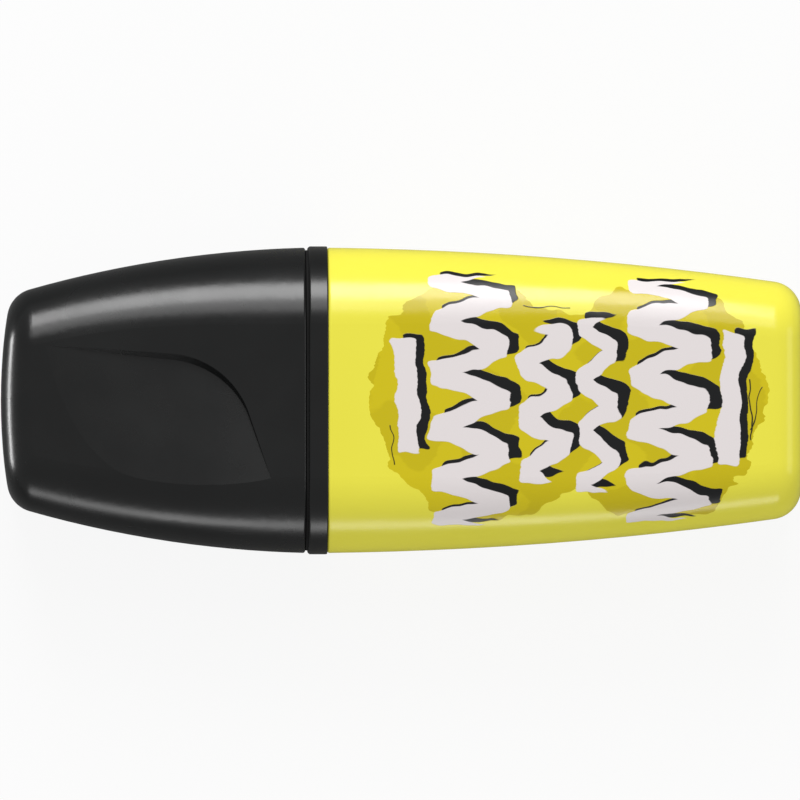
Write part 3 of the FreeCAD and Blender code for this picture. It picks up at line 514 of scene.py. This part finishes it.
held = add(tree, "ShaderNodeTexNoise", Vector=millimetres, Scale=1 / HELD_PLACE, Detail=4.0)
gloss = add(tree, "ShaderNodeMapRange", i0=held, i1=0.3, i2=0.7, i3=GLOSS_BEST, i4=GLOSS_WORST)
gloss = add(tree, "ShaderNodeMath", {"operation": "MULTIPLY_ADD"}, i0=inked, i1=INK_DULLNESS, i2=gloss)
wave = add(tree, "ShaderNodeTexNoise", Vector=millimetres, Scale=1 / GLOSS_WAVE, Detail=1.0)
relief = add(tree, "ShaderNodeBump", Strength=1.0, Distance=WAVE_HEIGHT * MM, Height=wave)
grain = add(tree, "ShaderNodeTexNoise", Vector=millimetres, Scale=1 / MOULD_GRAIN, Detail=2.0)
relief = add(tree, "ShaderNodeBump", Strength=1.0, Distance=GRAIN_HEIGHT * MM, Height=grain,
             Normal=relief)
relief = add(tree, "ShaderNodeBump", Strength=1.0, Distance=INK_HEIGHT * MM, Height=inked,
             Normal=relief)
surface = add(tree, "ShaderNodeBsdfPrincipled", Base_Color=colour, Roughness=gloss, Normal=relief,
              IOR=POLYPROPYLENE_IOR, Specular_IOR_Level=0.42)
tree.links.new(surface, tree.nodes.new("ShaderNodeOutputMaterial").inputs["Surface"])
print("material:", yellow_plastic.name, len(tree.nodes), "nodes")

# %% [markdown]
# ## Black cap and front section
# Cap, collar and nose are black polypropylene from a polished mould. Black hides all shading, so
# what the eye gets is the gloss alone: soft bright bands, a little uneven where fingers have been,
# and hair-fine scuffs along the pen from pockets and pencil cases. The scuffs are a noise pulled
# long along X, of which only the thinnest peaks are kept. The recess at the parting line is hard
# to polish in a mould, so there the plastic is made dull. Its colour there is also made near black:
# that is painted shade, for the shade that falls into the narrow gap.

# %% Black polypropylene, moulded glossy
BLACK = "0c0d0d"
BLACK_SMEARED = "101111"
# painted shade: the recess is coloured near black for the shade that falls into the narrow gap
RECESS_PAINTED_SHADE = "030303"
# roughness where the gloss is best and worst, and how much a scuff adds
BLACK_GLOSS_BEST = 0.23
BLACK_GLOSS_WORST = 0.29
SCUFF_DULLNESS = 0.06
# heights in mm
BLACK_WAVE_HEIGHT = 0.0014
BLACK_GRAIN_HEIGHT = 0.0010
SCUFF_DEPTH = 0.0006
# size of a finger's smear and spacing of the scuffs, in mm; real scuffs are finer than shows
SMEAR = 7.0
SCUFF_SPACING = 0.25
# scuffs are this much longer along X than apart
SCUFF_STRETCH = 1 / 0.04
# the recess between the closed cap and the collar starts at the cap's mouth and is this wide, in mm
RECESS_WIDTH = 0.25
# how far the dull finish and the painted shade run past it, and the roughness that it adds
RECESS_MARGIN = 0.02
RECESS_DULLNESS = 0.6

black_plastic, tree, millimetres = new_material("black_polypropylene_moulded")
smear = add(tree, "ShaderNodeTexNoise", Vector=millimetres, Scale=1 / SMEAR, Detail=4.0)
gloss = add(tree, "ShaderNodeMapRange", i0=smear, i1=0.3, i2=0.7, i3=BLACK_GLOSS_BEST,
            i4=BLACK_GLOSS_WORST)
along = add(tree, "ShaderNodeVectorMath", {"operation": "MULTIPLY"}, i0=millimetres,
            i1=(1 / SCUFF_STRETCH, 1, 1))
scuff = add(tree, "ShaderNodeTexNoise", Vector=along, Scale=1 / SCUFF_SPACING, Detail=2.0)
scuff = add(tree, "ShaderNodeMapRange", i0=scuff, i1=0.70, i2=0.82)
gloss = add(tree, "ShaderNodeMath", {"operation": "MULTIPLY_ADD"}, i0=scuff, i1=SCUFF_DULLNESS,
            i2=gloss)
wave = add(tree, "ShaderNodeTexNoise", Vector=millimetres, Scale=1 / GLOSS_WAVE, Detail=1.0)
relief = add(tree, "ShaderNodeBump", Strength=1.0, Distance=BLACK_WAVE_HEIGHT * MM, Height=wave)
grain = add(tree, "ShaderNodeTexNoise", Vector=millimetres, Scale=1 / MOULD_GRAIN, Detail=2.0)
relief = add(tree, "ShaderNodeBump", Strength=1.0, Distance=BLACK_GRAIN_HEIGHT * MM, Height=grain,
             Normal=relief)
relief = add(tree, "ShaderNodeBump", {"invert": True}, Strength=1.0, Distance=SCUFF_DEPTH * MM,
             Height=scuff, Normal=relief)

length = add(tree, "ShaderNodeSeparateXYZ", i0=millimetres).node.outputs["X"]
recess_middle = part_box("cap_shell")[1].x / MM + RECESS_WIDTH / 2
recess_dull_and_shade = add(tree, "ShaderNodeMath", {"operation": "COMPARE"}, i0=length, i1=recess_middle,
             i2=RECESS_WIDTH / 2 + RECESS_MARGIN)
gloss = add(tree, "ShaderNodeMath", {"operation": "MULTIPLY_ADD", "use_clamp": True}, i0=recess_dull_and_shade,
            i1=RECESS_DULLNESS, i2=gloss)
colour = add(tree, "ShaderNodeMix", {"data_type": "RGBA"}, i0=smear, i6=linear(BLACK),
             i7=linear(BLACK_SMEARED))
# painted shade: near black inside the recess, on top of its real dullness
colour = add(tree, "ShaderNodeMix", {"data_type": "RGBA"}, i0=recess_dull_and_shade, i6=colour,
             i7=linear(RECESS_PAINTED_SHADE))
surface = add(tree, "ShaderNodeBsdfPrincipled", Base_Color=colour, Roughness=gloss, Normal=relief,
              IOR=POLYPROPYLENE_IOR, Specular_IOR_Level=0.48)
tree.links.new(surface, tree.nodes.new("ShaderNodeOutputMaterial").inputs["Surface"])
print("material:", black_plastic.name, len(tree.nodes), "nodes")

# %% [markdown]
# ## Felt nib
# The nib is polyester felt, pressed and cut to a chisel, soaked in fluorescent ink. Felt is dull
# and slightly fuzzy, with its fibres along the nib, and the writing end is darker and wetter than
# the rest. The CAD gives its size and place. Here it is shaped again, softer, with the edge
# worn round by use: a cube at the nib's size is cut with three bisecting planes, one for the
# slanted writing edge and two for the chisel's bevels, and then its edges are rounded.

# %% Felt nib, shaped from a cube
nib_low, nib_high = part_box("nib")
# room left all round for the fuzz, so that the felt stays inside the nib's box
FUZZ = 0.05 * MM
# how far the slanted edge falls back along X, and how far back the bevels reach
NIB_SLANT = 2.2 * MM
NIB_BEVEL = 2.6 * MM
# the flat left between the bevels, and how round the edges are worn
NIB_EDGE = 1.1 * MM
NIB_WEAR = 0.32 * MM
# points closer than this are one point
SAME_POINT = 0.001 * MM


def cut_off(point, outward):
    """Cuts the mesh in edit mode and closes the cut; what lies outward of the plane goes."""
    bpy.ops.mesh.select_all(action="SELECT")
    bpy.ops.mesh.bisect(plane_co=point, plane_no=outward.normalized(), use_fill=True,
                        clear_outer=True, threshold=SAME_POINT)


for thing in bpy.context.selected_objects:
    thing.select_set(False)
inner_low = nib_low + Vector((FUZZ, FUZZ, FUZZ))
inner_high = nib_high - Vector((FUZZ, FUZZ, FUZZ))
nib_centre = (inner_low + inner_high) / 2
bpy.ops.mesh.primitive_cube_add(size=1, location=nib_centre, scale=inner_high - inner_low)
felt_nib = bpy.context.object
felt_nib.name = "felt_nib"
bpy.ops.object.transform_apply(location=True, rotation=True, scale=True)
bpy.ops.object.mode_set(mode="EDIT")
nib_tip = Vector((inner_low.x, inner_high.y, nib_centre.z))
# from the slanted writing edge straight back into the felt
inward = Vector((inner_high.y - inner_low.y, NIB_SLANT, 0)).normalized()
cut_off(nib_tip, -inward)
bevel_rise = (inner_high.z - inner_low.z - NIB_EDGE) / 2
for up in (1, -1):
    bevel_start = nib_tip + Vector((0, 0, up * NIB_EDGE / 2))
    cut_off(bevel_start, Vector((0, 0, up * NIB_BEVEL)) - bevel_rise * inward)
bpy.ops.mesh.select_all(action="SELECT")
bpy.ops.mesh.bevel(offset=NIB_WEAR, segments=3, affect="EDGES")
bpy.ops.mesh.select_all(action="SELECT")
bpy.ops.mesh.remove_doubles(threshold=SAME_POINT)
bpy.ops.mesh.normals_make_consistent(inside=False)
bpy.ops.object.mode_set(mode="OBJECT")
print("nib blank:", len(felt_nib.data.polygons), "faces")

# %% [markdown]
# A fine, even mesh is needed before anything small can be pushed about, and a voxel remesh gives
# one. A little smoothing takes off its steps, and then a clouds texture pushes it in and out by a
# few hundredths of a millimetre. The nib rides on the pen and stands for the CAD's crisp one.

# %% Felt nib, roughened
MESH_STEP = 0.22 * MM
# size of the felt's tufts
TUFT = 0.45 * MM

fuzz_pattern = bpy.data.textures.new("felt_fuzz", "CLOUDS")
fuzz_pattern.noise_scale = TUFT
grid = felt_nib.modifiers.new("even_mesh", "REMESH")
grid.mode = "VOXEL"
grid.voxel_size = MESH_STEP
grid.use_smooth_shade = True
soften = felt_nib.modifiers.new("soften", "SMOOTH")
soften.factor = 0.5
soften.iterations = 4
fuzz = felt_nib.modifiers.new("fuzz", "DISPLACE")
fuzz.texture = fuzz_pattern
fuzz.texture_coords = "LOCAL"
fuzz.mid_level = 0.5
fuzz.strength = 1.6 * FUZZ
bpy.context.view_layer.objects.active = felt_nib
felt_nib.select_set(True)
for step in ("even_mesh", "soften", "fuzz"):
    bpy.ops.object.modifier_apply(modifier=step)
bpy.ops.object.shade_smooth()
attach(felt_nib, "pen")
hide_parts("nib")
print("felt nib:", len(felt_nib.data.polygons), "faces")

# %% [markdown]
# The felt's look: fibres run along the nib, so the noise is pulled long along X. Real fibres are
# about 0.02 mm thick; they are drawn coarser to show. Colour deepens towards the wet tip.

# %% Polyester felt and ink-filled fibre
FELT_TIP = "d6e312"
FELT_DRY = "e9ee63"
CORE_WET = "d2de1e"
CORE_DRY = "e3e86a"
# spacing of the fibres and of the clumps that they gather in, in mm
FIBRE_SPACING = 0.14
CLUMP_SIZE = 1.1
# fibres are this much longer along X than apart
FIBRE_STRETCH = 1 / 0.07
# the ink's deep colour fades over this length from the nib's tip, in mm
WET_LENGTH = 6.0
POLYESTER_IOR = 1.57


def fibre_material(name, wet, dry, wet_end, dry_end, depth):
    """Dull fibres along X, coloured from wet to dry between two places along the pen, in mm.

    depth is how far the fibres stand out, in mm."""
    material, tree, millimetres = new_material(name)
    along = add(tree, "ShaderNodeVectorMath", {"operation": "MULTIPLY"}, i0=millimetres,
                i1=(1 / FIBRE_STRETCH, 1, 1))
    fibres = add(tree, "ShaderNodeTexNoise", Vector=along, Scale=1 / FIBRE_SPACING, Detail=3.0)
    clumps = add(tree, "ShaderNodeTexNoise", Vector=millimetres, Scale=1 / CLUMP_SIZE, Detail=3.0)
    length = add(tree, "ShaderNodeSeparateXYZ", i0=millimetres).node.outputs["X"]
    soak = add(tree, "ShaderNodeMapRange", i0=length, i1=wet_end, i2=dry_end)
    soak = add(tree, "ShaderNodeMath", {"operation": "MULTIPLY_ADD", "use_clamp": True}, i0=clumps,
               i1=0.5, i2=soak)
    colour = add(tree, "ShaderNodeMix", {"data_type": "RGBA"}, i0=soak, i6=linear(wet), i7=linear(dry))
    shade = add(tree, "ShaderNodeMapRange", i0=fibres, i1=0.3, i2=0.7, i3=0.78, i4=1.06)
    colour = add(tree, "ShaderNodeVectorMath", {"operation": "SCALE"}, i0=colour, Scale=shade)
    dull = add(tree, "ShaderNodeMapRange", i0=soak, i3=0.62, i4=0.9)
    relief = add(tree, "ShaderNodeBump", Strength=1.0, Distance=depth * MM, Height=fibres)
    surface = add(tree, "ShaderNodeBsdfPrincipled", Base_Color=colour, Roughness=dull,
                  Normal=relief, IOR=POLYESTER_IOR, Sheen_Weight=0.25, Sheen_Roughness=0.5)
    tree.links.new(surface, tree.nodes.new("ShaderNodeOutputMaterial").inputs["Surface"])
    print("material:", name, len(tree.nodes), "nodes")
    return material


nib_tip_mm = nib_low.x / MM
felt = fibre_material("polyester_felt_pressed_inked", FELT_TIP, FELT_DRY, nib_tip_mm,
                      nib_tip_mm + WET_LENGTH, depth=0.03)
core_low, core_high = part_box("reservoir_core")
fibre_core = fibre_material("polyester_fibre_bundle_inked", CORE_WET, CORE_DRY, core_low.x / MM,
                            core_high.x / MM, depth=0.04)

# %% [markdown]
# ## Sealing cup and film
# The cup inside the cap is low-density polyethylene, moulded soft and left natural: milky white,
# with a waxy satin skin that light sinks into a little.

# %% Natural polyethylene, moulded satin
MILKY = "e3e5df"
MILKY_CLOUD = "d8dbd4"
# size of the clouds in the plastic, the height of its grain and how deep light sinks in, in mm
CLOUD_SIZE = 4.0
SATIN_HEIGHT = 0.004
LIGHT_DEPTH = 0.8
POLYETHYLENE_IOR = 1.51

milky_plastic, tree, millimetres = new_material("low_density_polyethylene_moulded")
clouding = add(tree, "ShaderNodeTexNoise", Vector=millimetres, Scale=1 / CLOUD_SIZE, Detail=3.0)
colour = add(tree, "ShaderNodeMix", {"data_type": "RGBA"}, i0=clouding, i6=linear(MILKY),
             i7=linear(MILKY_CLOUD))
satin = add(tree, "ShaderNodeMapRange", i0=clouding, i1=0.3, i2=0.7, i3=0.36, i4=0.48)
grain = add(tree, "ShaderNodeTexNoise", Vector=millimetres, Scale=1 / MOULD_GRAIN, Detail=3.0)
relief = add(tree, "ShaderNodeBump", Strength=1.0, Distance=SATIN_HEIGHT * MM, Height=grain)
surface = add(tree, "ShaderNodeBsdfPrincipled", Base_Color=colour, Roughness=satin, Normal=relief,
              IOR=POLYETHYLENE_IOR, Subsurface_Weight=0.2, Subsurface_Radius=(1, 1, 0.9),
              Subsurface_Scale=LIGHT_DEPTH * MM)
tree.links.new(surface, tree.nodes.new("ShaderNodeOutputMaterial").inputs["Surface"])
print("material:", milky_plastic.name, len(tree.nodes), "nodes")

# %% [markdown]
# The sleeve around the fibre bundle is clear polypropylene film, rolled thin and a little hazy. It
# lets the fibres show through, and it crinkles, so its mirror images wander.

# %% Clear polypropylene film
CLEAR = "f3f5ef"
# size and height of the film's crinkles, in mm
CRINKLE = 3.0
CRINKLE_HEIGHT = 0.05

clear_film, tree, millimetres = new_material("polypropylene_film_clear")
crinkle = add(tree, "ShaderNodeTexNoise", Vector=millimetres, Scale=1 / CRINKLE, Detail=4.0)
haze = add(tree, "ShaderNodeMapRange", i0=crinkle, i1=0.3, i2=0.7, i3=0.06, i4=0.16)
relief = add(tree, "ShaderNodeBump", Strength=1.0, Distance=CRINKLE_HEIGHT * MM, Height=crinkle)
surface = add(tree, "ShaderNodeBsdfPrincipled", Base_Color=linear(CLEAR), Roughness=haze,
              Normal=relief, IOR=POLYPROPYLENE_IOR, Transmission_Weight=0.9)
tree.links.new(surface, tree.nodes.new("ShaderNodeOutputMaterial").inputs["Surface"])
print("material:", clear_film.name, len(tree.nodes), "nodes")

# %% [markdown]
# ## Finishes on their pieces
# Six CAD pieces keep their meshes and only swap their materials. The felt nib is a new piece, and
# the CAD nib that it stands for gets the same finish, though it is hidden.

# %% Finishes
FINISHES = {"barrel": yellow_plastic, "front_section": black_plastic, "cap_shell": black_plastic,
            "nib": felt, "reservoir_core": fibre_core, "reservoir_film": clear_film,
            "cap_liner": milky_plastic}
for node_name, finish in FINISHES.items():
    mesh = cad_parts[node_name].data
    mesh.materials.clear()
    mesh.materials.append(finish)
felt_nib.data.materials.append(felt)
print("finishes:", {name: finish.name for name, finish in FINISHES.items()})
